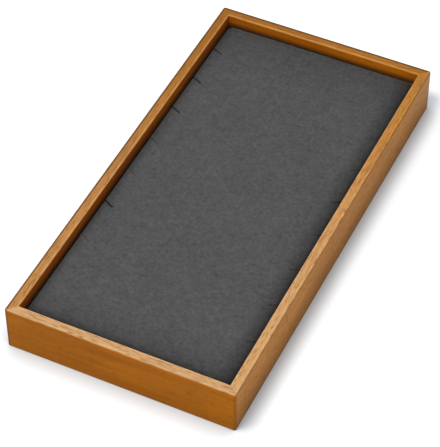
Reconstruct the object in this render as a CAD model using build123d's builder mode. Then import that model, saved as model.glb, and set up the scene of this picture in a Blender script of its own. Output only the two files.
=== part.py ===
"""Jewelry display tray: a mitred wooden frame and a cloth-covered slit pad that lifts out.

Millimetres. The long side runs along Y, the near short rail is at -Y, +Z is up, and the
origin lies on the table under the middle of the tray.
"""

from build123d import *
from math import cos, radians, sqrt
import os

# Frame
tray_width = 150
tray_length = 300
rail_height = 32
rail_thickness = 6.5
rim_round = 1.0
foot_round = 0.6
upright_round = 1.5

# Base panel, held in a groove of the four rails
groove_height = 3.0
groove_depth = 2.5
panel_thickness = 3.0
panel_slack = 0.1
panel_play = 0.3
panel_corner_round = 1.0

# Felt glued under the base panel
lining_thickness = 1.0
lining_gap = 0.6
lining_corner_round = 2.0

# Loose tongues glued across the mitres
tongue_width = 5.0
tongue_thickness = 1.5
tongue_cover = 1.5
tongue_over_groove = 2.0
tongue_under_rim = 5.0
tongue_chamfer = 0.4
glue_room = 0.3

# Pad: stiff board, foam and the cloth wrapped over both
pad_recess = 8.0
pad_gap = 0.7
pad_crown = 0.8
pad_corner_round = 2.6
pad_shoulder_round = 1.8
cloth_thickness = 0.8
board_thickness = 3.0
board_play = 0.2
hem_width = 18.0

# Slits along both long edges of the pad, for the ends of chains
slit_count = 8
slit_pitch = 31.2
first_slit = 24.6
slit_reach = 7.4
slit_slant = 30
slit_mouth_width = 1.0
slit_end_width = 0.4
slit_depth = 9.0
slit_overcut = 3.0

# Sizes that follow
inner_width = tray_width - 2 * rail_thickness
inner_length = tray_length - 2 * rail_thickness
groove_top = groove_height + panel_thickness + panel_slack
groove_floor = rail_thickness - groove_depth
panel_top = groove_height + panel_thickness
tongue_bottom = groove_top + tongue_over_groove
tongue_height = rail_height - tongue_under_rim - tongue_bottom
tongue_centre = tongue_cover + (tongue_width + tongue_thickness) / (2 * sqrt(2))
pad_width = inner_width - 2 * pad_gap
pad_length = inner_length - 2 * pad_gap
pad_top = rail_height - pad_recess
crown_radius = (pad_width**2 / 4 + pad_crown**2) / (2 * pad_crown)
board_bottom = panel_top + cloth_thickness
foam_bottom = board_bottom + board_thickness
slit_length = slit_reach / cos(radians(slit_slant))

# Each rail's plane starts at an outer corner, with X along the rail and Y into the tray
front_run = Plane(origin=(-tray_width / 2, -tray_length / 2, 0), x_dir=(1, 0, 0))
right_run = Plane(origin=(tray_width / 2, -tray_length / 2, 0), x_dir=(0, 1, 0))
back_run = Plane(origin=(tray_width / 2, tray_length / 2, 0), x_dir=(-1, 0, 0))
left_run = Plane(origin=(-tray_width / 2, tray_length / 2, 0), x_dir=(0, -1, 0))

rail_runs = {
    "front_rail": (front_run, tray_width),
    "right_rail": (right_run, tray_length),
    "back_rail": (back_run, tray_width),
    "left_rail": (left_run, tray_length),
}
tongue_runs = {
    "front_left_tongue": front_run,
    "front_right_tongue": right_run,
    "back_right_tongue": back_run,
    "back_left_tongue": left_run,
}

os.makedirs("parts", exist_ok=True)


def sanded_outside():
    """The outside of the glued-up frame, with its rim, foot and uprights rounded in one go."""
    with BuildPart() as outside:
        with BuildSketch():
            RectangleRounded(tray_width, tray_length, upright_round)
        extrude(amount=rail_height)
        fillet(outside.faces().sort_by(Axis.Z)[-1].edges(), rim_round)
        fillet(outside.faces().sort_by(Axis.Z)[0].edges(), foot_round)
    return outside.part


def pad_form(inset, bottom):
    """The pad's crowned shape, drawn inside the face of its cloth by inset and cut at bottom."""
    with BuildPart() as form:
        with BuildSketch(Plane.XY.offset(bottom)):
            RectangleRounded(pad_width - 2 * inset, pad_length - 2 * inset, pad_corner_round - inset)
        extrude(amount=pad_top - bottom)

        # A wide cylinder along the pad gives its top a low crown from side to side
        with Locations((0, 0, pad_top - crown_radius)):
            Cylinder(crown_radius - inset, inner_length, rotation=(90, 0, 0), mode=Mode.INTERSECT)
        fillet(form.faces().sort_by(Axis.Z)[-1].edges(), pad_shoulder_round - inset)
    return form.part


def chain_slits():
    """Narrow wedges that cut the slits, open at the pad's sides and slanted towards the near end."""
    with BuildPart() as slits:
        with BuildSketch(Plane.XY.offset(pad_top)):
            for number in range(slit_count):
                mouth_y = pad_length / 2 - first_slit - number * slit_pitch
                for mouth_x, heading in ((-pad_width / 2, -slit_slant), (pad_width / 2, slit_slant - 180)):
                    with Locations(Location((mouth_x, mouth_y, 0), (0, 0, heading))):
                        Polygon(
                            (-slit_overcut, -slit_mouth_width / 2),
                            (0, -slit_mouth_width / 2),
                            (slit_length, -slit_end_width / 2),
                            (slit_length, slit_end_width / 2),
                            (0, slit_mouth_width / 2),
                            (-slit_overcut, slit_mouth_width / 2),
                            align=None,
                        )
        extrude(amount=-slit_depth)
    return slits.part


# Rails: one grooved moulding, mitred at both ends and slotted for the tongues
frame_outside = sanded_outside()

for rail_name, (run, run_length) in rail_runs.items():
    with BuildPart() as rail:
        with BuildSketch(Plane(origin=run.origin, x_dir=run.y_dir, z_dir=run.x_dir)) as moulding:
            with BuildLine():
                Polyline(
                    (0, 0),
                    (rail_thickness, 0),
                    (rail_thickness, groove_height),
                    (groove_floor, groove_height),
                    (groove_floor, groove_top),
                    (rail_thickness, groove_top),
                    (rail_thickness, rail_height),
                    (0, rail_height),
                    close=True,
                )
            make_face()
            inner_rim = moulding.vertices().group_by(Axis.Y)[-1].sort_by(Axis.X)[-1]
            fillet(inner_rim, rim_round)
        extrude(amount=run_length)

        # A wedge with 45 degree ends leaves the mitres
        with BuildSketch(run):
            with BuildLine():
                Polyline(
                    (0, 0),
                    (run_length, 0),
                    (run_length - 2 * rail_thickness, 2 * rail_thickness),
                    (2 * rail_thickness, 2 * rail_thickness),
                    close=True,
                )
            make_face()
        extrude(amount=rail_height, mode=Mode.INTERSECT)
        add(frame_outside, mode=Mode.INTERSECT)

        # Half of each tongue's slot lies in this rail
        with BuildSketch(run.offset(tongue_bottom - glue_room)):
            for along, turn in ((tongue_centre, -45), (run_length - tongue_centre, 45)):
                with Locations((along, tongue_centre)):
                    Rectangle(tongue_width + 2 * glue_room, tongue_thickness, rotation=turn)
        extrude(amount=tongue_height + 2 * glue_room, mode=Mode.SUBTRACT)

    rail.part.label = rail_name
    export_step(rail.part, f"parts/{rail_name}.step")

# Loose tongues: slips of wood with eased ends, square across each mitre
for tongue_name, run in tongue_runs.items():
    with BuildPart() as tongue:
        with BuildSketch(run.offset(tongue_bottom)):
            with Locations((tongue_centre, tongue_centre)):
                Rectangle(tongue_width, tongue_thickness, rotation=-45)
        extrude(amount=tongue_height)
        chamfer(tongue.edges().filter_by(Axis.Z), tongue_chamfer)

    tongue.part.label = tongue_name
    export_step(tongue.part, f"parts/{tongue_name}.step")

# Base panel, resting on the lower lip of the groove
with BuildPart() as base_panel:
    with BuildSketch(Plane.XY.offset(groove_height)):
        RectangleRounded(
            inner_width + 2 * (groove_depth - panel_play),
            inner_length + 2 * (groove_depth - panel_play),
            panel_corner_round,
        )
    extrude(amount=panel_thickness)

base_panel.part.label = "base_panel"
export_step(base_panel.part, "parts/base_panel.step")

# Felt under the panel, clear of the table
with BuildPart() as underside_lining:
    with BuildSketch(Plane.XY.offset(groove_height - lining_thickness)):
        RectangleRounded(
            inner_width - 2 * lining_gap,
            inner_length - 2 * lining_gap,
            lining_corner_round,
        )
    extrude(amount=lining_thickness)

underside_lining.part.label = "underside_lining"
export_step(underside_lining.part, "parts/underside_lining.step")

# Stiff board that backs the foam
with BuildPart() as pad_board:
    with BuildSketch(Plane.XY.offset(board_bottom)):
        RectangleRounded(
            pad_width - 2 * (cloth_thickness + board_play),
            pad_length - 2 * (cloth_thickness + board_play),
            pad_corner_round - cloth_thickness,
        )
    extrude(amount=board_thickness)

pad_board.part.label = "pad_board"
export_step(pad_board.part, "parts/pad_board.step")

# Foam slab, slit with the cloth that covers it
slits = chain_slits()

with BuildPart() as pad_foam:
    add(pad_form(cloth_thickness, foam_bottom))
    add(slits, mode=Mode.SUBTRACT)

pad_foam.part.label = "pad_foam"
export_step(pad_foam.part, "parts/pad_foam.step")

# Cloth over the top and sides, turned under the board in a glued hem
with BuildPart() as pad_cover:
    add(pad_form(0, panel_top))
    add(pad_form(cloth_thickness, board_bottom), mode=Mode.SUBTRACT)
    with BuildSketch(Plane.XY.offset(panel_top)):
        Rectangle(pad_width - 2 * hem_width, pad_length - 2 * hem_width)
    extrude(amount=cloth_thickness, mode=Mode.SUBTRACT)
    add(slits, mode=Mode.SUBTRACT)

pad_cover.part.label = "pad_cover"
export_step(pad_cover.part, "parts/pad_cover.step")
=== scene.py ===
from math import cos, pi, radians, sin

import bmesh
import bpy
from mathutils import Matrix, Vector


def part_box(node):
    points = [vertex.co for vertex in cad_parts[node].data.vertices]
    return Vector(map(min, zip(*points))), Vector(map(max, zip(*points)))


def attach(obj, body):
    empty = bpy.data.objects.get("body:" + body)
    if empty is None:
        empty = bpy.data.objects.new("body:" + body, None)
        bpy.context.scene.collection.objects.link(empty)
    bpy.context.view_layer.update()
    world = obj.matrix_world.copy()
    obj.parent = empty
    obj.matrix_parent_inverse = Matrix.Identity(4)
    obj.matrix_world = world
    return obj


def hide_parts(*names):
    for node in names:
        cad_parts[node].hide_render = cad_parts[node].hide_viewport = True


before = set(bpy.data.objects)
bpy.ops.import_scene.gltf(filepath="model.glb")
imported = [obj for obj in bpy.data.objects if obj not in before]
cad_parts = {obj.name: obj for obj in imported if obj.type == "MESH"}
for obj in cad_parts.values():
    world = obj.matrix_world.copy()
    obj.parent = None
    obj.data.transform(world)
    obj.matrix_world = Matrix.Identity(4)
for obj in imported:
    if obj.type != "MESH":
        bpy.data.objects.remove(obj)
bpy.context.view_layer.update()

MM = 0.001

# Sizes of the tray and its pad, as in the part's source
TRAY_WIDTH = 150 * MM
TRAY_LENGTH = 300 * MM
RAIL_HEIGHT = 32 * MM
RAIL_THICKNESS = 6.5 * MM
PAD_WIDTH = 135.6 * MM
PAD_LENGTH = 285.6 * MM
PAD_BOTTOM = 6 * MM
PAD_TOP = 24 * MM
PAD_CORNER = 2.6 * MM
CLOTH = 0.8 * MM
BOARD_TOP = 9.8 * MM
HEM_WIDTH = 18 * MM
SLIT_COUNT = 8
SLIT_PITCH = 31.2 * MM
FIRST_SLIT = 24.6 * MM
SLIT_SLANT = radians(30)
SLIT_LENGTH = 9.0 * MM


class Wire:
    """One output socket; arithmetic on it adds Math nodes."""

    def __init__(self, bench, socket):
        self.bench = bench
        self.socket = socket

    def of(self, output):
        """Another output of the same node."""
        return Wire(self.bench, self.bench.pick(self.socket.node.outputs, output))

    def reckon(self, operation, first, second):
        return self.bench.node("ShaderNodeMath", {"operation": operation}, {0: first, 1: second})

    def __add__(self, other):
        return self.reckon("ADD", self, other)

    def __radd__(self, other):
        return self.reckon("ADD", other, self)

    def __sub__(self, other):
        return self.reckon("SUBTRACT", self, other)

    def __rsub__(self, other):
        return self.reckon("SUBTRACT", other, self)

    def __mul__(self, other):
        return self.reckon("MULTIPLY", self, other)

    def __rmul__(self, other):
        return self.reckon("MULTIPLY", other, self)

    def __truediv__(self, other):
        return self.reckon("DIVIDE", self, other)

    def __abs__(self):
        return self.reckon("ABSOLUTE", self, 0)

    def lowest(self, other):
        return self.reckon("MINIMUM", self, other)

    def highest(self, other):
        return self.reckon("MAXIMUM", self, other)


class Bench:
    """A node tree in the making, for a finish or for repeated work."""

    def __init__(self, tree):
        self.tree = tree
        tree.nodes.clear()

    @staticmethod
    def pick(sockets, key):
        if isinstance(key, int):
            return sockets[key]
        exact = [socket for socket in sockets if socket.identifier == key]
        return (exact or [socket for socket in sockets if socket.name == key])[0]

    @staticmethod
    def set_stops(ramp, stops):
        """Gives a colour ramp its stops, each a place and a colour."""
        for spare in list(ramp.elements)[1:]:
            ramp.elements.remove(spare)
        ramp.elements[0].position = stops[0][0]
        for place, _ in stops[1:]:
            ramp.elements.new(place)
        for stop, (_, colour) in zip(ramp.elements, stops):
            stop.color = (*colour, 1)

    def node(self, kind, settings=None, sockets=None, output=0):
        """Adds a node: its settings first, then the values or wires of its sockets."""
        made = self.tree.nodes.new(kind)
        for name, value in (settings or {}).items():
            if name == "stops":
                self.set_stops(made.color_ramp, value)
            else:
                setattr(made, name, value)
        for key, value in (sockets or {}).items():
            socket = self.pick(made.inputs, key)
            if isinstance(value, Wire):
                self.tree.links.new(value.socket, socket)
            else:
                socket.default_value = value
        return Wire(self, self.pick(made.outputs, output)) if made.outputs else made

    def scaled(self, vector, factors):
        return self.node("ShaderNodeVectorMath", {"operation": "MULTIPLY"}, {0: vector, 1: factors})

    def shifted(self, vector, step):
        return self.node("ShaderNodeVectorMath", {"operation": "ADD"}, {0: vector, 1: step})

    def parts(self, vector):
        whole = self.node("ShaderNodeSeparateXYZ", {}, {0: vector})
        return whole, whole.of(1), whole.of(2)

    def vector(self, x, y, z):
        return self.node("ShaderNodeCombineXYZ", {}, {0: x, 1: y, 2: z})


class Finish(Bench):
    """A procedural finish for one of the tray's surfaces."""

    def __init__(self, name):
        self.material = bpy.data.materials.new(name)
        self.material.use_nodes = True
        super().__init__(self.material.node_tree)

    def place(self):
        return self.node("ShaderNodeTexCoord", {}, {}, "Object")

    def speckle(self, vector, scale, detail=2.0, roughness=0.5):
        sockets = {"Vector": vector, "Scale": scale, "Detail": detail, "Roughness": roughness}
        return self.node("ShaderNodeTexNoise", {}, sockets)

    def ease(self, value, low, high):
        """0 below low and 1 above high, with a smooth rise between."""
        sockets = {0: value, 1: low, 2: high}
        return self.node("ShaderNodeMapRange", {"interpolation_type": "SMOOTHSTEP"}, sockets)

    def mix(self, factor, first, second):
        sockets = {"Factor_Float": factor, "A_Color": first, "B_Color": second}
        return self.node("ShaderNodeMix", {"data_type": "RGBA"}, sockets, "Result_Color")

    def tones(self, value, stops):
        return self.node("ShaderNodeValToRGB", {"stops": stops}, {0: value})

    def shade(self, colour, share):
        """Scales a colour by a number that changes over the surface."""
        return self.node("ShaderNodeVectorMath", {"operation": "SCALE"}, {0: colour, "Scale": share})

    def surface(self, colour, roughness, relief=None, depth=0.0, **constants):
        """Closes the finish with its shader; relief from 0 to 1 stands depth metres high."""
        sockets = {"Base Color": colour, "Roughness": roughness}
        sockets.update({name.replace("_", " "): value for name, value in constants.items()})
        if relief is not None:
            sockets["Normal"] = self.node("ShaderNodeBump", {}, {"Height": relief, "Distance": depth})
        shader = self.node("ShaderNodeBsdfPrincipled", {}, sockets)
        self.node("ShaderNodeOutputMaterial", {}, {"Surface": shader})
        return self.material


# Colours laid over the wood: thinned stain and rubbed rims, partly painted sheen and highlight, dark edge
# lines, painted crease shade, pores and mitre lines
SANDED_AND_SHEEN = (0.60, 0.375, 0.190, 1)
WORN_RIM_HIGHLIGHT = (0.78, 0.42, 0.13, 1)
PALE_WORN_RIM_HIGHLIGHT = (0.82, 0.56, 0.33, 1)
CREASE_SHADE_COLOUR = (0.055, 0.028, 0.010, 1)
STAINED_PORE = (0.20, 0.070, 0.012, 1)
STAINED_DASH = (0.34, 0.150, 0.045, 1)
DARK_EDGE_COLOUR = (0.07, 0.024, 0.005, 1)
MITRE_LINE = (0.11, 0.036, 0.009, 1)


def stained_wood(name, runs_along, batten, tone, hue, inside, paleness, dark_rim, foot_shade):
    """Open-pored hardwood, stained honey brown under a satin lacquer.

    batten moves the grain so that no two rails are alike, tone and hue set the board's colour,
    with the near and right rails' higher tone partly painted sheen, and inside is the tint of its
    inner face, painted shade and bounce light of the well. paleness is how far its top face is
    lightened to a sanded tan, partly thinned stain and partly painted sheen, dark_rim how dark a
    line is drawn round the outer top edge and over how many metres, and foot_shade how much
    painted shade darkens the outside low down. A band of painted crease shade runs along the
    inner face round the pad's top, and the top is lighter at its near end, partly wear and partly
    painted sheen, with painted shade towards its far end.
    """
    oak = Finish(name)
    x, y, z = oak.parts(oak.place())
    along, across = (y, x) if runs_along == "Y" else (x, y)
    grain = oak.shifted(oak.vector(along, across, z), batten)

    streaks = oak.speckle(oak.scaled(grain, (14, 330, 330)), 1, 3, 0.6)
    figure = oak.speckle(oak.scaled(grain, (9, 60, 60)), 1, 2, 0.5)
    clouds = oak.speckle(oak.scaled(grain, (32, 75, 75)), 1, 2, 0.55)
    fibres = oak.speckle(oak.scaled(grain, (150, 2200, 2200)), 1, 2, 0.6)
    pores = oak.ease(oak.speckle(oak.scaled(grain, (190, 1800, 1800)), 1, 1, 0.4), 0.52, 0.68)
    dashes = oak.ease(oak.speckle(oak.scaled(grain, (95, 760, 760)), 1, 1, 0.4), 0.48, 0.62)

    colour = oak.tones(streaks * 0.55 + figure * 0.45, [
        (0.30, (0.390, 0.112, 0.0030)),
        (0.46, (0.490, 0.150, 0.0050)),
        (0.58, (0.545, 0.176, 0.0075)),
        (0.72, (0.610, 0.214, 0.0130)),
    ])
    colour = oak.scaled(colour, hue)
    colour = oak.shade(colour, (0.78 + clouds * 0.44) * (0.84 + fibres * 0.32) * tone)

    # Distances in metres from the tray's sides and ends, a rail's two faces and the mitre
    from_side = TRAY_WIDTH / 2 - abs(x)
    from_end = TRAY_LENGTH / 2 - abs(y)
    from_outside = from_side.lowest(from_end)
    from_inside = abs(from_outside - RAIL_THICKNESS)
    off_mitre = abs(from_side - from_end)

    strength, width = dark_rim
    near_top = oak.ease(z, RAIL_HEIGHT - 1.4 * MM, RAIL_HEIGHT - 0.4 * MM)
    rim = from_outside.highest(RAIL_HEIGHT - z)
    # A dark line drawn round the outer top edge and down the corner uprights
    dark_edge_line = (1 - oak.ease(rim, width * 0.5, width)) * strength
    upright = 1 - oak.ease(from_side.highest(from_end), 1.0 * MM, 2.6 * MM)
    dark_edge_line = dark_edge_line.highest(upright * (0.6 - oak.ease(x, -20 * MM, 20 * MM) * 0.45))
    # Lighter line along the inner top edge: partly wear, partly painted highlight
    rim_wear_and_highlight = near_top * (1 - oak.ease(from_inside, 0.3 * MM, 1.3 * MM))
    mitre = 1 - oak.ease(off_mitre, 0.06 * MM, 0.3 * MM)
    in_mitre = mitre * oak.ease(z, 0, 1 * MM)
    top_face = oak.ease(z, RAIL_HEIGHT - 0.7 * MM, RAIL_HEIGHT - 0.15 * MM)
    # Weight that lightens the top towards its near end: partly wear, partly painted sheen
    near_wear_and_sheen = 0.25 + 0.75 * oak.ease(y, 130 * MM, -90 * MM)
    inner_face = oak.ease(from_outside, 5.3 * MM, 6.3 * MM)
    # Painted crease shade: a dark band on the inner face from 17 to 28 mm up, round the pad's top
    crease_shade = inner_face * oak.ease(z, 17 * MM, 21 * MM) * (1 - oak.ease(z, 23 * MM, 28.2 * MM))
    # Painted shade on the outer faces, darker towards the foot
    low = (1 - inner_face) * (1 - oak.ease(z, -5 * MM, 24 * MM))
    # Lighter line along the outer top edge where no dark line is drawn: painted highlight
    outer_rim_highlight = near_top * (1 - oak.ease(abs(from_outside - 1.1 * MM), 0.2 * MM, 0.9 * MM))
    rim_wear_and_highlight = rim_wear_and_highlight.highest(outer_rim_highlight * (1 - strength) * 0.6)
    # Painted shade towards the far end of the top
    far_end_shade = oak.ease(y, 20 * MM, 120 * MM)

    # Inner faces tinted by inside: painted shade and bounce light of the well
    colour = oak.mix(inner_face * (1 - top_face), colour, oak.scaled(colour, inside))
    # The painted foot shade
    colour = oak.shade(colour, 1 - low * foot_shade)
    # The painted crease shade, nearly black-brown
    colour = oak.mix(crease_shade * 0.95, colour, CREASE_SHADE_COLOUR)
    # Top faces paled to a sanded tan: partly thinned stain, partly painted sheen
    colour = oak.mix(top_face * near_wear_and_sheen * paleness, colour, SANDED_AND_SHEEN)
    colour = oak.mix(rim_wear_and_highlight * 0.5, colour, oak.mix(near_wear_and_sheen * paleness, WORN_RIM_HIGHLIGHT, PALE_WORN_RIM_HIGHLIGHT))
    # Painted shade: the top darkens towards its far end
    colour = oak.shade(colour, 1 - top_face * far_end_shade * paleness * 0.2)
    colour = oak.mix(pores * (0.36 + top_face * 0.24), colour, STAINED_PORE)
    colour = oak.mix(dashes * top_face * (0.45 - near_wear_and_sheen * 0.25), colour, STAINED_DASH)
    colour = oak.mix(dark_edge_line * 0.9, colour, DARK_EDGE_COLOUR)
    colour = oak.mix(in_mitre * 0.18, colour, MITRE_LINE)

    gloss = 0.34 + streaks * 0.14 + pores * 0.2
    relief = 1 - pores * 0.8 - (1 - fibres) * 0.2 - in_mitre * 0.6
    return oak.surface(colour, gloss, relief, 0.05 * MM, Specular_IOR_Level=0.10,
                       Specular_Tint=(1.0, 0.50, 0.1, 1))


def bare_wood(name):
    """Pale unfinished wood of the loose tongues, its grain upright."""
    slip = Finish(name)
    place = slip.place()
    grain = slip.speckle(slip.scaled(place, (900, 900, 40)), 1, 3, 0.6)
    flecks = slip.ease(slip.speckle(slip.scaled(place, (2600, 2600, 300)), 1, 1), 0.56, 0.7)
    colour = slip.tones(grain, [(0.3, (0.42, 0.27, 0.13)), (0.7, (0.66, 0.48, 0.28))])
    colour = slip.mix(flecks * 0.5, colour, (0.30, 0.18, 0.08, 1))
    return slip.surface(colour, 0.7 + grain * 0.2, grain - flecks * 0.5, 0.04 * MM)


def pressed_board(name, dark, light):
    """Fibreboard: matted fibres and small flecks."""
    board = Finish(name)
    place = board.place()
    mat = board.speckle(board.scaled(place, (420, 420, 900)), 1, 5, 0.65)
    fibres = board.speckle(board.scaled(place, (2200, 700, 2200)), 1, 3, 0.6)
    flecks = board.ease(board.speckle(place, 1500, 1), 0.62, 0.72)
    colour = board.tones(mat * 0.6 + fibres * 0.4, [(0.32, dark), (0.68, light)])
    colour = board.mix(flecks * 0.5, colour, (*[share * 0.5 for share in dark], 1))
    return board.surface(colour, 0.75 + mat * 0.2, mat * 0.5 + fibres * 0.5, 0.03 * MM)


# Painted shade on top along the pad's edges, darkest by the right and near rails: side, both distances,
# share
EDGE_SHADE = (
    ("left", 0.5 * MM, 6.5 * MM, 0.3),
    ("right", 2.0 * MM, 16.0 * MM, 0.55),
    ("right", 2.5 * MM, 5.5 * MM, 0.5),
    ("near", 0.0, 34.0 * MM, 0.28),
    ("near", 4.0 * MM, 12.0 * MM, 0.5),
    ("near", 5.0 * MM, 7.0 * MM, 0.3),
    ("far", 0.0, 50.0 * MM, 0.2),
)


# Radians of the weave's wave in each metre of cloth, for a thread about every 0.8 mm
WEAVE_RATE = 7800


def microfibre(name, follows):
    """Charcoal microfibre with a short brushed nap over a fine weave, and painted shade on top along its
    edges.
    """
    cloth = Finish(name)
    if follows == "wrap":
        place = cloth.node("ShaderNodeUVMap", {"uv_map": "wrap"})
    else:
        place = cloth.place()
    drift = cloth.speckle(place, 260, 2, 0.5)
    u, v, _ = cloth.parts(cloth.shifted(place, (0.3 * MM, 0.2 * MM, 0)))
    warp_wave = cloth.node("ShaderNodeMath", {"operation": "SINE"}, {0: u * WEAVE_RATE + drift * 5})
    weft_wave = cloth.node("ShaderNodeMath", {"operation": "SINE"}, {0: v * WEAVE_RATE + drift * 5})
    weave = warp_wave * weft_wave * 0.5 + 0.5
    nap = cloth.speckle(place, 1100, 4, 0.65)
    mottle = cloth.speckle(place, 420, 3, 0.6)
    brushed = cloth.speckle(cloth.scaled(place, (42, 26, 30)), 1, 3, 0.5)
    lint = cloth.ease(cloth.speckle(place, 1900, 1), 0.71, 0.78)
    blotches = cloth.speckle(place, 150, 2, 0.5)
    level = -0.61 + blotches * 0.55 + nap * 1.20 + mottle * 1.12 + brushed * 0.30 + weave * 0.04
    x, y, z = cloth.parts(cloth.place())
    from_edge = {"left": x + PAD_WIDTH / 2, "right": PAD_WIDTH / 2 - x,
                 "near": y + PAD_LENGTH / 2, "far": PAD_LENGTH / 2 - y}
    on_top = cloth.ease(z, PAD_TOP - 4 * MM, PAD_TOP - 1.5 * MM)
    # Painted shade: the cloth's colour darkens on top near each edge
    for side, near_by, well_in, share in EDGE_SHADE:
        level = level * (1 - on_top * share * (1 - cloth.ease(from_edge[side], near_by, well_in)))
    colour = cloth.shade((0.0690, 0.0682, 0.0676), level)
    colour = cloth.mix(lint * 0.35, colour, (0.16, 0.16, 0.165, 1))
    relief = weave * 0.35 + nap * 0.65
    return cloth.surface(colour, 0.9 + nap * 0.1, relief, 0.09 * MM,
                         Sheen_Weight=0.30, Sheen_Roughness=0.4, Specular_IOR_Level=0.25)


def foam_rubber(name):
    """Dark open-cell foam."""
    foam = Finish(name)
    place = foam.place()
    cells = foam.node("ShaderNodeTexVoronoi", {}, {"Vector": place, "Scale": 1600})
    tint = foam.speckle(place, 90, 2)
    colour = foam.shade((0.055, 0.055, 0.058), 0.7 + foam.ease(cells, 0.1, 0.7) * 0.5 + tint * 0.2)
    return foam.surface(colour, 0.92 + cells * 0.06, cells, 0.15 * MM)


def wool_felt(name):
    """Short matted felt, a shade cooler than the pad."""
    felt = Finish(name)
    place = felt.place()
    matted = felt.speckle(place, 900, 5, 0.7)
    tufts = felt.speckle(felt.scaled(place, (1700, 500, 900)), 1, 3, 0.7)
    worn = felt.speckle(place, 34, 2)
    level = 0.55 + matted * 0.4 + tufts * 0.35 + worn * 0.18
    colour = felt.shade((0.032, 0.033, 0.037), level)
    fibre = felt.ease(tufts, 0.60, 0.74)
    colour = felt.mix(fibre * 0.3, colour, (0.075, 0.077, 0.084, 1))
    return felt.surface(colour, 0.95, matted * 0.5 + tufts * 0.5, 0.2 * MM,
                        Sheen_Weight=0.3, Sheen_Roughness=0.6, Specular_IOR_Level=0.2)


def add_piece(name, mesh):
    piece = bpy.data.objects.new(name, mesh)
    bpy.context.scene.collection.objects.link(piece)
    return piece


def settled(piece):
    """Turns a piece and its live modifiers into one plain mesh."""
    depsgraph = bpy.context.evaluated_depsgraph_get()
    mesh = bpy.data.meshes.new_from_object(piece.evaluated_get(depsgraph))
    piece.modifiers.clear()
    old = piece.data
    piece.data = mesh
    bpy.data.meshes.remove(old)
    return piece


def rounded_outline(width, length, corner, height, steps=6):
    """Points round a rectangle with rounded corners, counter-clockwise seen from above."""
    points = []
    for quarter, (sx, sy) in enumerate(((1, 1), (-1, 1), (-1, -1), (1, -1))):
        middle = Vector((sx * (width / 2 - corner), sy * (length / 2 - corner), height))
        for step in range(steps + 1):
            turn = (quarter + step / steps) * pi / 2
            points.append(middle + corner * Vector((cos(turn), sin(turn), 0)))
    return points


def lofted(rings):
    """A closed form through outlines of equal length, from the lowest to the highest."""
    form = bmesh.new()
    rows = [[form.verts.new(point) for point in ring] for ring in rings]
    for lower, upper in zip(rows, rows[1:]):
        for number in range(len(lower)):
            after = (number + 1) % len(lower)
            form.faces.new((lower[number], lower[after], upper[after], upper[number]))
    form.faces.new(reversed(rows[0]))
    form.faces.new(rows[-1])
    mesh = bpy.data.meshes.new("form")
    form.to_mesh(mesh)
    form.free()
    return mesh


# The pad's soft form: its shoulders, the most that its cloth swells, and its cloth's crown and draw
SIDE_SHOULDER = 10.0 * MM
END_SHOULDER = 1.3 * MM
SHOULDER_FALL = 1.8 * MM
SHOULDER_STEPS = 10
SWELL = 0.5 * MM
CROWN = 0.25 * MM
SIDE_DRAW = 0.2 * MM

# How finely the form is divided, and how many frames its cloth takes to settle
SWELL_GRAIN = 3 * MM
SKIN_GRAIN = 1.9 * MM
SETTLING_FRAMES = 20


def pad_rings(small=0.0):
    """Outlines of the foam-filled pad: broad soft shoulders along its sides, tight ends."""
    yield rounded_outline(PAD_WIDTH - 2 * small, PAD_LENGTH - 2 * small, PAD_CORNER, PAD_BOTTOM)
    for step in range(SHOULDER_STEPS + 1):
        turn = step / SHOULDER_STEPS * pi / 2
        side = small + SIDE_SHOULDER * (1 - cos(turn))
        end = small + END_SHOULDER * (1 - cos(turn))
        height = PAD_TOP - small - SHOULDER_FALL * (1 - sin(turn))
        yield rounded_outline(PAD_WIDTH - 2 * side, PAD_LENGTH - 2 * end, PAD_CORNER, height)


def voxel_mesh(piece, size):
    remesh = piece.modifiers.new("even_mesh", "REMESH")
    remesh.mode = "VOXEL"
    remesh.voxel_size = size
    remesh.use_smooth_shade = True
    return settled(piece)


def swollen_cloth():
    """The cloth as it swells over the foam, held where it is glued round the board."""
    form = lofted(list(pad_rings(SWELL)))
    cloth_piece = voxel_mesh(add_piece("swollen_cloth", form), SWELL_GRAIN)
    rest = [vertex.co.copy() for vertex in cloth_piece.data.vertices]
    held = cloth_piece.vertex_groups.new(name="glued")
    held.add([n for n, co in enumerate(rest) if co.z < BOARD_TOP], 1.0, "REPLACE")
    cloth = cloth_piece.modifiers.new("tension", "CLOTH")
    cloth.settings.use_pressure = True
    cloth.settings.uniform_pressure_force = 4
    cloth.settings.tension_stiffness = 25
    cloth.settings.compression_stiffness = 25
    cloth.settings.bending_stiffness = 4
    cloth.settings.vertex_group_mass = "glued"
    cloth.settings.effector_weights.gravity = 0
    cloth.collision_settings.use_collision = False
    scene = bpy.context.scene
    for number in range(SETTLING_FRAMES):
        scene.frame_set(number + 1)
    swollen = cloth_piece.evaluated_get(bpy.context.evaluated_depsgraph_get()).data.vertices
    moved = [vertex.co.copy() for vertex in swollen]
    cloth_piece.modifiers.clear()
    scene.frame_set(1)
    for vertex, start, end in zip(cloth_piece.data.vertices, rest, moved):
        step = end - start
        if step.length > SWELL:
            step *= SWELL / step.length
        vertex.co = start + step
    return cloth_piece


def side_of(place):
    """1 on the positive side of the middle and -1 on the other."""
    return 1 if place > 0 else -1


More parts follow.
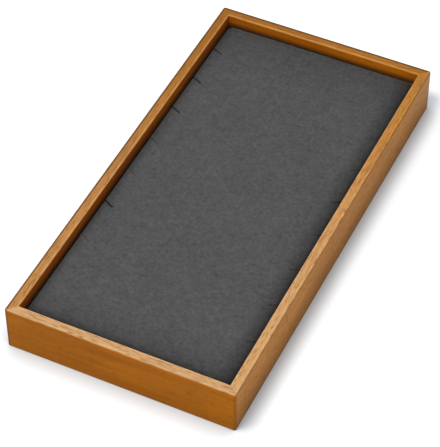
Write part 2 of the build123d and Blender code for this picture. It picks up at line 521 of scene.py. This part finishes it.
def pull_cloth(mesh):
    """Gives the skin its low crown and draws its sides in between the corners."""
    for vertex in mesh.vertices:
        x, y, z = vertex.co
        rise = min(max((z - BOARD_TOP) / (PAD_TOP - BOARD_TOP), 0), 1)
        z -= rise * CROWN * min((2 * x / PAD_WIDTH) ** 2, 1)
        draw = SIDE_DRAW * sin(pi * min(rise * 1.2, 1))
        off_ends = max(1 - (2 * y / PAD_LENGTH) ** 2, 0)
        x -= side_of(x) * draw * off_ends * abs(2 * x / PAD_WIDTH) ** 12
        off_sides = max(1 - (2 * x / PAD_WIDTH) ** 2, 0)
        y -= side_of(y) * draw * off_sides * abs(2 * y / PAD_LENGTH) ** 30
        x = min(max(x, -PAD_WIDTH / 2), PAD_WIDTH / 2)
        y = min(max(y, -PAD_LENGTH / 2), PAD_LENGTH / 2)
        vertex.co = (x, y, min(max(z, PAD_BOTTOM), PAD_TOP))


def stuffed_skin():
    """The closed skin of the pad: its fine form, with the swell of the cloth across the top."""
    form = add_piece("pad_form", lofted(list(pad_rings())))
    skin = voxel_mesh(add_piece("pad_skin", form.data.copy()), SKIN_GRAIN)
    snug = skin.modifiers.new("snug", "SHRINKWRAP")
    snug.target = form
    snug.wrap_method = "NEAREST_SURFACEPOINT"
    settled(skin)
    swollen = swollen_cloth()
    top = skin.vertex_groups.new(name="top")
    for vertex in skin.data.vertices:
        if vertex.normal.z > 0.5:
            from_side = PAD_WIDTH / 2 - abs(vertex.co.x)
            from_end = PAD_LENGTH / 2 - abs(vertex.co.y)
            share = (min(from_side, from_end) - 3 * MM) / (12 * MM)
            top.add([vertex.index], min(max(share, 0), 0.8), "REPLACE")
    swell = skin.modifiers.new("swell", "SHRINKWRAP")
    swell.target = swollen
    swell.wrap_method = "PROJECT"
    swell.use_project_z = True
    swell.use_positive_direction = True
    swell.use_negative_direction = True
    swell.project_limit = 1.5 * MM
    swell.vertex_group = "top"
    settled(skin)
    bpy.data.objects.remove(swollen)
    bpy.data.objects.remove(form)
    pull_cloth(skin.data)
    return skin


# How far each slit stands open, from the far end to the near one; at 1 it has the blade's own width
LEFT_OPEN = (1.15, 1.15, 1.05, 0.45, 0.1, 1.35, 0.1, 0.1)
RIGHT_OPEN = (0.1, 0.1, 0.1, 0.6, 0.1, 0.2, 0.1, 0.1)


def slit_marks():
    """A point at the mouth of every slit, with its heading and how far it stands open."""
    rows = ((-1, -SLIT_SLANT, LEFT_OPEN), (1, SLIT_SLANT - pi, RIGHT_OPEN))
    places, headings, openings = [], [], []
    for number in range(SLIT_COUNT):
        y = PAD_LENGTH / 2 - FIRST_SLIT - number * SLIT_PITCH
        for side, heading, opening in rows:
            places.append((side * PAD_WIDTH / 2, y, PAD_TOP))
            headings.append((0, 0, heading))
            openings.append(opening[number])
    mesh = bpy.data.meshes.new("slit_marks")
    mesh.from_pydata(places, [], [])
    mesh.attributes.new("heading", "FLOAT_VECTOR", "POINT")
    mesh.attributes.new("opening", "FLOAT", "POINT")
    for number, (heading, opening) in enumerate(zip(headings, openings)):
        mesh.attributes["heading"].data[number].vector = heading
        mesh.attributes["opening"].data[number].value = opening
    return add_piece("slit_marks", mesh)


class Jig(Bench):
    """A Geometry Nodes tree with named inputs, worked on one object at a time."""

    def __init__(self, name, inputs):
        super().__init__(bpy.data.node_groups.new(name, "GeometryNodeTree"))
        face = self.tree.interface
        face.new_socket(name="Geometry", in_out="INPUT", socket_type="NodeSocketGeometry")
        face.new_socket(name="Geometry", in_out="OUTPUT", socket_type="NodeSocketGeometry")
        self.values = {}
        for label, (kind, value) in inputs.items():
            socket = face.new_socket(name=label, in_out="INPUT", socket_type=f"NodeSocket{kind}")
            self.values[socket.identifier] = value
        self.given = self.node("NodeGroupInput")

    def mark(self, kind, label):
        """A value that the worked object carries at each of its points."""
        return self.node("GeometryNodeInputNamedAttribute", {"data_type": kind}, {"Name": label})

    def close(self, geometry, material):
        """Ends the tree as plain geometry in one material."""
        real = self.node("GeometryNodeRealizeInstances", {}, {0: geometry})
        dressed = self.node("GeometryNodeSetMaterial", {}, {0: real, "Material": material})
        self.node("NodeGroupOutput", {}, {0: dressed})

    def work(self, piece):
        """Runs the tree on a piece and leaves a plain mesh."""
        modifier = piece.modifiers.new(self.tree.name, "NODES")
        modifier.node_group = self.tree
        for identifier, value in self.values.items():
            modifier[identifier] = value
        return settled(piece)


def slit_blades(material):
    """Thin wedge blades at the marks, which open the slits in cloth and foam."""
    jig = Jig("slit_blades", {
        "Slit Length": ("Float", SLIT_LENGTH),
        "Mouth Width": ("Float", 1.5 * MM),
        "End Width": ("Float", 1.4 * MM),
        "Depth": ("Float", 9 * MM),
        "Overcut": ("Float", 3 * MM),
    })
    given = jig.given
    length, mouth, end = given.of("Slit Length"), given.of("Mouth Width"), given.of("End Width")
    depth, over = given.of("Depth"), given.of("Overcut")
    size = jig.vector(length + over, mouth, depth * 2)
    block = jig.node("GeometryNodeMeshCube", {}, {"Size": size, "Vertices X": 9})
    x, y, z = jig.parts(jig.node("GeometryNodeInputPosition"))
    inward = x + (length - over) / 2
    share = (inward / length).highest(0)
    taper = 1 + share * (end / mouth - 1)
    tapered = jig.vector(inward, y * taper, z)
    wedge = jig.node("GeometryNodeSetPosition", {}, {0: block, "Position": tapered})
    turn = jig.mark("FLOAT_VECTOR", "heading")
    opening = jig.mark("FLOAT", "opening")
    turned = jig.node("FunctionNodeEulerToRotation", {}, {0: turn})
    blades = jig.node("GeometryNodeInstanceOnPoints", {}, {
        "Points": given.of("Geometry"),
        "Instance": wedge,
        "Rotation": turned,
        "Scale": jig.vector(1, 0.35 + opening * 0.65, 1),
    })
    jig.close(blades, material)
    return jig.work(slit_marks())


def rolled_lips(skin, blades, material):
    """Fine rolls of cloth round each slit, where the cut edge has turned in."""
    jig = Jig("rolled_lips", {
        "Blades": ("Object", blades),
        "Lip Radius": ("Float", 0.22 * MM),
        "Point Spacing": ("Float", 0.5 * MM),
    })
    given = jig.given
    knives = jig.node("GeometryNodeObjectInfo", {}, {"Object": given.of("Blades")}, "Geometry")
    cut = jig.node("GeometryNodeMeshBoolean", {"operation": "DIFFERENCE", "solver": "EXACT"},
                   {"Mesh 1": given.of("Geometry"), "Mesh 2": knives})
    rim = jig.node("GeometryNodeMeshToCurve", {}, {0: cut, "Selection": cut.of("Intersecting Edges")})
    even = jig.node("GeometryNodeResampleCurve", {"mode": "LENGTH"},
                    {0: rim, "Length": given.of("Point Spacing")})
    section = jig.node("GeometryNodeCurvePrimitiveCircle", {"mode": "RADIUS"},
                       {"Resolution": 8, "Radius": given.of("Lip Radius")})
    roll = jig.node("GeometryNodeCurveToMesh", {}, {"Curve": even, "Profile Curve": section})
    smooth = jig.node("GeometryNodeSetShadeSmooth", {}, {0: roll})
    jig.close(smooth, material)
    lips = add_piece("slit_lips", skin.data.copy())
    return jig.work(lips)


def cut_slits(piece, blades):
    knife = piece.modifiers.new("slits", "BOOLEAN")
    knife.operation = "DIFFERENCE"
    knife.solver = "EXACT"
    knife.object = blades
    return settled(piece)


def shade_pad(mesh):
    """Smooth cloth, with an edge only where it is cut or folded."""
    mesh.shade_smooth()
    mesh.set_sharp_from_angle(angle=radians(40))


def wrap_map(mesh):
    """A flat map of the cloth, in metres, unfolded down the sides and on under the hem."""
    layer = mesh.uv_layers.new(name="wrap")
    for face in mesh.polygons:
        normal, middle = face.normal, face.center
        down = abs(normal.z) < 0.5
        under = normal.z < -0.5 or middle.z < PAD_BOTTOM + 2 * MM
        by_side = PAD_WIDTH / 2 - abs(middle.x) < PAD_LENGTH / 2 - abs(middle.y)
        for loop in face.loop_indices:
            x, y, z = mesh.vertices[mesh.loops[loop].vertex_index].co
            drop = PAD_TOP - z
            if under and not down:
                drop += (PAD_WIDTH / 2 - abs(x)) * 2 if by_side else (PAD_LENGTH / 2 - abs(y)) * 2
            if down or under:
                if by_side:
                    x += side_of(middle.x) * drop
                else:
                    y += side_of(middle.y) * drop
            layer.data[loop].uv = (x, y)


def cover_from(skin):
    """The cloth itself: the skin with a window under the board, given its thickness inwards."""
    cover = add_piece("wrapped_cover", skin.data.copy())
    work = bmesh.new()
    work.from_mesh(cover.data)
    window_x = PAD_WIDTH / 2 - HEM_WIDTH
    window_y = PAD_LENGTH / 2 - HEM_WIDTH
    for axis, reach in ((Vector((1, 0, 0)), window_x), (Vector((0, 1, 0)), window_y)):
        for sign in (-1, 1):
            low = [face for face in work.faces if face.normal.z < -0.5]
            near = list({part for face in low for part in (*face.verts, *face.edges)}) + low
            bmesh.ops.bisect_plane(work, geom=near, plane_co=axis * reach * sign, plane_no=axis)
    window = [
        face for face in work.faces
        if face.normal.z < -0.5
        and abs(face.calc_center_median().x) < window_x
        and abs(face.calc_center_median().y) < window_y
    ]
    bmesh.ops.delete(work, geom=window, context="FACES")
    work.to_mesh(cover.data)
    work.free()
    thick = cover.modifiers.new("thickness", "SOLIDIFY")
    thick.thickness = CLOTH
    thick.offset = -1
    thick.use_even_offset = True
    return settled(cover)


def foam_from(skin):
    """The foam slab under the cloth, resting on the board."""
    foam = add_piece("foam_slab", skin.data.copy())
    inset = CLOTH + 0.06 * MM
    floor = BOARD_TOP + 0.02 * MM
    normals = [vertex.normal.copy() for vertex in foam.data.vertices]
    for vertex, normal in zip(foam.data.vertices, normals):
        spot = vertex.co - normal * inset
        vertex.co = (spot.x, spot.y, max(spot.z, floor))
    work = bmesh.new()
    work.from_mesh(foam.data)
    bmesh.ops.remove_doubles(work, verts=work.verts, dist=0.05 * MM)
    resting = floor + 0.001 * MM
    flat = [face for face in work.faces if all(vertex.co.z < resting for vertex in face.verts)]
    bmesh.ops.dissolve_faces(work, faces=flat)
    bmesh.ops.recalc_face_normals(work, faces=work.faces)
    work.to_mesh(foam.data)
    work.free()
    return foam


def felt_sheet():
    """The felt glued under the base panel: a thin sheet with soft cut edges."""
    low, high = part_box("underside_lining")
    width, length = high[0] - low[0], high[1] - low[1]
    thick = high[2] - low[2]
    corner = 2 * MM
    rings = []
    for inset, share in ((0.45, 0.0), (0.1, 0.25), (0.0, 0.7), (0.15, 1.0)):
        less = 2 * inset * MM
        height = low[2] + share * thick
        rings.append(rounded_outline(width - less, length - less, corner, height, 8))
    return add_piece("felt_sheet", lofted(rings))


def dress(piece, material):
    piece.data.materials.clear()
    piece.data.materials.append(material)


def dress_node(name, material):
    """Gives a carried-over solid its finish."""
    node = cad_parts[name]
    if not node.material_slots:
        node.data.materials.append(material)
    for slot in node.material_slots:
        slot.material = material


def looked_at(bench):
    """1 where the camera, a gloss or a clear body looks straight at the surface, and 0 for light."""
    ray = bench.node("ShaderNodeLightPath")
    seen = ray.of("Is Camera Ray").highest(ray.of("Is Glossy Ray"))
    return seen.highest(ray.of("Is Transmission Ray"))


def light_the_room():
    """Cool even fill from all round, and a white surround for the eye."""
    world = bpy.data.worlds.new("white_surround")
    world.use_nodes = True
    bpy.context.scene.world = world
    room = Bench(world.node_tree)
    fill = room.node("ShaderNodeBackground", {}, {"Color": (0.90, 0.95, 1.0, 1), "Strength": 0.64})
    white = room.node("ShaderNodeBackground", {}, {"Color": (1, 1, 1, 1), "Strength": 1.0})
    surround = room.node("ShaderNodeMixShader", {}, {0: looked_at(room), 1: fill, 2: white})
    room.node("ShaderNodeOutputWorld", {}, {"Surface": surround})


def white_paper():
    """Matt paper that keeps the tray's shadow, deepened by painted contact shade, and is lifted to white
    only where it is looked at.
    """
    paper = Finish("white_paper")
    seen = looked_at(paper)
    # Ambient occlusion darkens the paper's colour round the tray's foot: painted contact shade
    nook = paper.node("ShaderNodeAmbientOcclusion", {"samples": 8}, {"Distance": 18 * MM}, "AO")
    crisp = paper.shade((0.95, 0.98, 1.0), 0.13 + nook * 0.87)
    shade = paper.mix(seen, (0.45, 0.45, 0.455, 1), crisp)
    matt = paper.node("ShaderNodeBsdfDiffuse", {}, {"Color": shade})
    across, along, _ = paper.parts(paper.place())
    away = paper.ease(across * across + along * along, 0.22 ** 2, 0.6 ** 2)
    lift = paper.node("ShaderNodeEmission", {}, {"Color": (1, 1, 1, 1), "Strength": seen * (0.13 + away)})
    both = paper.node("ShaderNodeAddShader", {}, {0: matt, 1: lift})
    paper.node("ShaderNodeOutputMaterial", {}, {"Surface": both})
    return paper.material


def lay_paper():
    """The floor: a wide sheet of paper just under the tray's foot."""
    sweep = bmesh.new()
    bmesh.ops.create_grid(sweep, x_segments=8, y_segments=8, size=3)
    bmesh.ops.translate(sweep, verts=sweep.verts, vec=(0, 0, -0.05 * MM))
    mesh = bpy.data.meshes.new("paper_sweep")
    sweep.to_mesh(mesh)
    sweep.free()
    floor = add_piece("paper_sweep", mesh)
    dress(floor, white_paper())


LAMP_HEIGHT = 1.18
LAMP_SIZE = 0.36
LAMP_WATTS = 9.0


def hang_soft_box():
    """A warm square lamp above the near left of the tray, facing its middle."""
    lamp = bpy.data.lights.new("soft_box", "AREA")
    lamp.shape = "RECTANGLE"
    lamp.size = LAMP_SIZE
    lamp.size_y = LAMP_SIZE
    lamp.energy = LAMP_WATTS
    lamp.color = (1.0, 0.985, 0.96)
    soft_box = bpy.data.objects.new("soft_box", lamp)
    spot = Vector((-0.12, -0.32, 1.0)) * LAMP_HEIGHT
    soft_box.location = spot
    soft_box.rotation_euler = spot.to_track_quat("Z", "Y").to_euler()
    bpy.context.scene.collection.objects.link(soft_box)


def set_studio():
    """White paper, soft light from above the near left, and an even white surround."""
    bpy.context.scene.view_settings.view_transform = "Standard"
    light_the_room()
    lay_paper()
    hang_soft_box()


# The camera that fits the tray's edges in the photograph: its turn and lift in radians, its
# distance and steps aside in metres, its focal length in the photograph's own pixels, and the
# width in millimetres of a sensor that takes in the photograph's longer side
CAMERA_TURN = 0.445602
CAMERA_LIFT = 0.815241
CAMERA_DISTANCE = 1.2785
STEP_LEFT = 0.0059
STEP_DOWN = 0.0027
FOCAL_LENGTH = 2026.46
PHOTO_HEIGHT = 447
SENSOR_WIDTH = 36


def set_camera():
    """The photograph's own view of the tray."""
    turn, lift = CAMERA_TURN, CAMERA_LIFT
    back = Vector((sin(turn) * cos(lift), -cos(turn) * cos(lift), sin(lift)))
    right = Vector((cos(turn), sin(turn), 0))
    up = back.cross(right)
    lens = bpy.data.cameras.new("camera")
    lens.sensor_width = SENSOR_WIDTH
    lens.lens = FOCAL_LENGTH / PHOTO_HEIGHT * SENSOR_WIDTH
    lens.clip_start = 0.05
    camera = bpy.data.objects.new("camera", lens)
    stand = Matrix((right, up, back)).transposed().to_4x4()
    stand.translation = back * CAMERA_DISTANCE - right * STEP_LEFT - up * STEP_DOWN
    camera.matrix_world = stand
    bpy.context.scene.collection.objects.link(camera)
    bpy.context.scene.camera = camera


set_camera()
set_studio()

# tone: the near and right rails' higher tone is partly painted sheen
dress_node("front_rail", stained_wood(
    "front_rail_wood", "X", (0.31, 0.12, 0.05), tone=1.0, hue=(0.98, 0.93, 0.1),
    inside=(1.1, 0.9, 0.6), paleness=0.78, dark_rim=(0.1, 1.2 * MM), foot_shade=0.2))
dress_node("right_rail", stained_wood(
    "right_rail_wood", "Y", (0.73, 0.41, 0.22), tone=1.07, hue=(1.04, 1.19, 1.0),
    inside=(1.1, 0.9, 0.6), paleness=0.72, dark_rim=(0.45, 0.9 * MM), foot_shade=0.54))
dress_node("back_rail", stained_wood(
    "back_rail_wood", "X", (0.17, 0.86, 0.61), tone=0.78, hue=(0.96, 1.0, 0.8),
    inside=(1.19, 0.96, 0.67), paleness=0.3, dark_rim=(0.9, 2.6 * MM), foot_shade=0.3))
dress_node("left_rail", stained_wood(
    "left_rail_wood", "Y", (0.52, 0.27, 0.94), tone=0.75, hue=(0.98, 1.06, 0.9),
    inside=(0.98, 0.60, 0.2), paleness=0.34, dark_rim=(0.85, 2.0 * MM), foot_shade=0.3))
tongue_wood = bare_wood("tongue_wood")
for corner in ("front_left", "front_right", "back_right", "back_left"):
    dress_node(f"{corner}_tongue", tongue_wood)
dress_node("base_panel", pressed_board("base_board", (0.16, 0.10, 0.055), (0.34, 0.23, 0.14)))
dress_node("pad_board", pressed_board("grey_board", (0.20, 0.19, 0.17), (0.38, 0.36, 0.33)))

wrapped_cloth = microfibre("wrapped_microfibre", "wrap")
lip_cloth = microfibre("lip_microfibre", "place")
skin = stuffed_skin()
blades = slit_blades(wrapped_cloth)
lips = rolled_lips(skin, blades, lip_cloth)
cover = cut_slits(cover_from(skin), blades)
foam = cut_slits(foam_from(skin), blades)
shade_pad(cover.data)
wrap_map(cover.data)
dress(cover, wrapped_cloth)
dress(foam, foam_rubber("grey_foam"))
bpy.data.objects.remove(skin)
bpy.data.objects.remove(blades)

felt = felt_sheet()
dress(felt, wool_felt("grey_felt"))

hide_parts("pad_cover")
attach(cover, "pad")
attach(lips, "pad")
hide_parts("pad_foam")
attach(foam, "pad")
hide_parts("underside_lining")
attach(felt, "frame")
